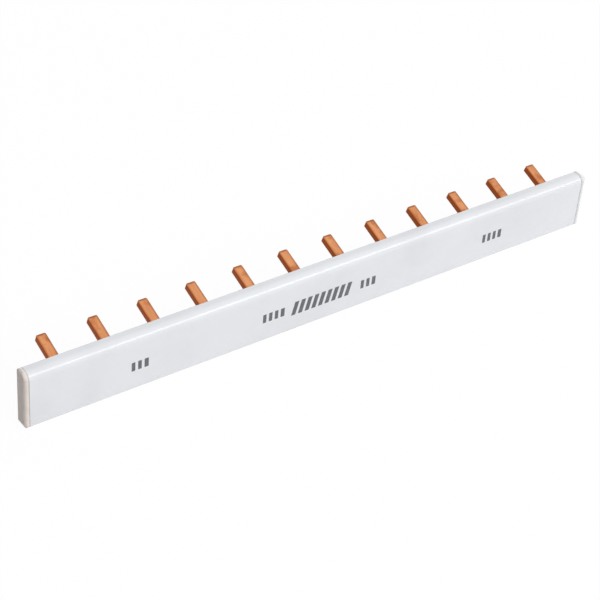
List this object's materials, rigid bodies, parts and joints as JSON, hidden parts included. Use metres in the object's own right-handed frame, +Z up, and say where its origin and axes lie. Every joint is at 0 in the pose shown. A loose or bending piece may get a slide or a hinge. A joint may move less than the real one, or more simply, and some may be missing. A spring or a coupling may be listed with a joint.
{
  "type": "comb busbar",
  "caption": "Slim insulated comb busbar: a white extruded profile with a row of bent copper pins and a moulded cap on each end.",
  "frame": {"origin": "middle of the pin row, on the plane of the profile's rear side and half way through the pins' thickness", "axes": "+X along the bar to the right seen from the front, +Y square to the profile's flat rear side, which the pins leave by, +Z up"},
  "size_m": [0.2236, 0.0159, 0.0204],
  "materials": {
    "profile_plastic": "satin white extruded plastic",
    "copper": "bare rolled copper, lightly darkened at the cut edges",
    "cap_plastic": "fine matt moulded plastic"
  },
  "bodies": {
    "root": {"insulating_profile": "profile_plastic", "copper_comb": "copper", "end_cap_left": "cap_plastic", "end_cap_right": "cap_plastic"}
  },
  "joints": []
}
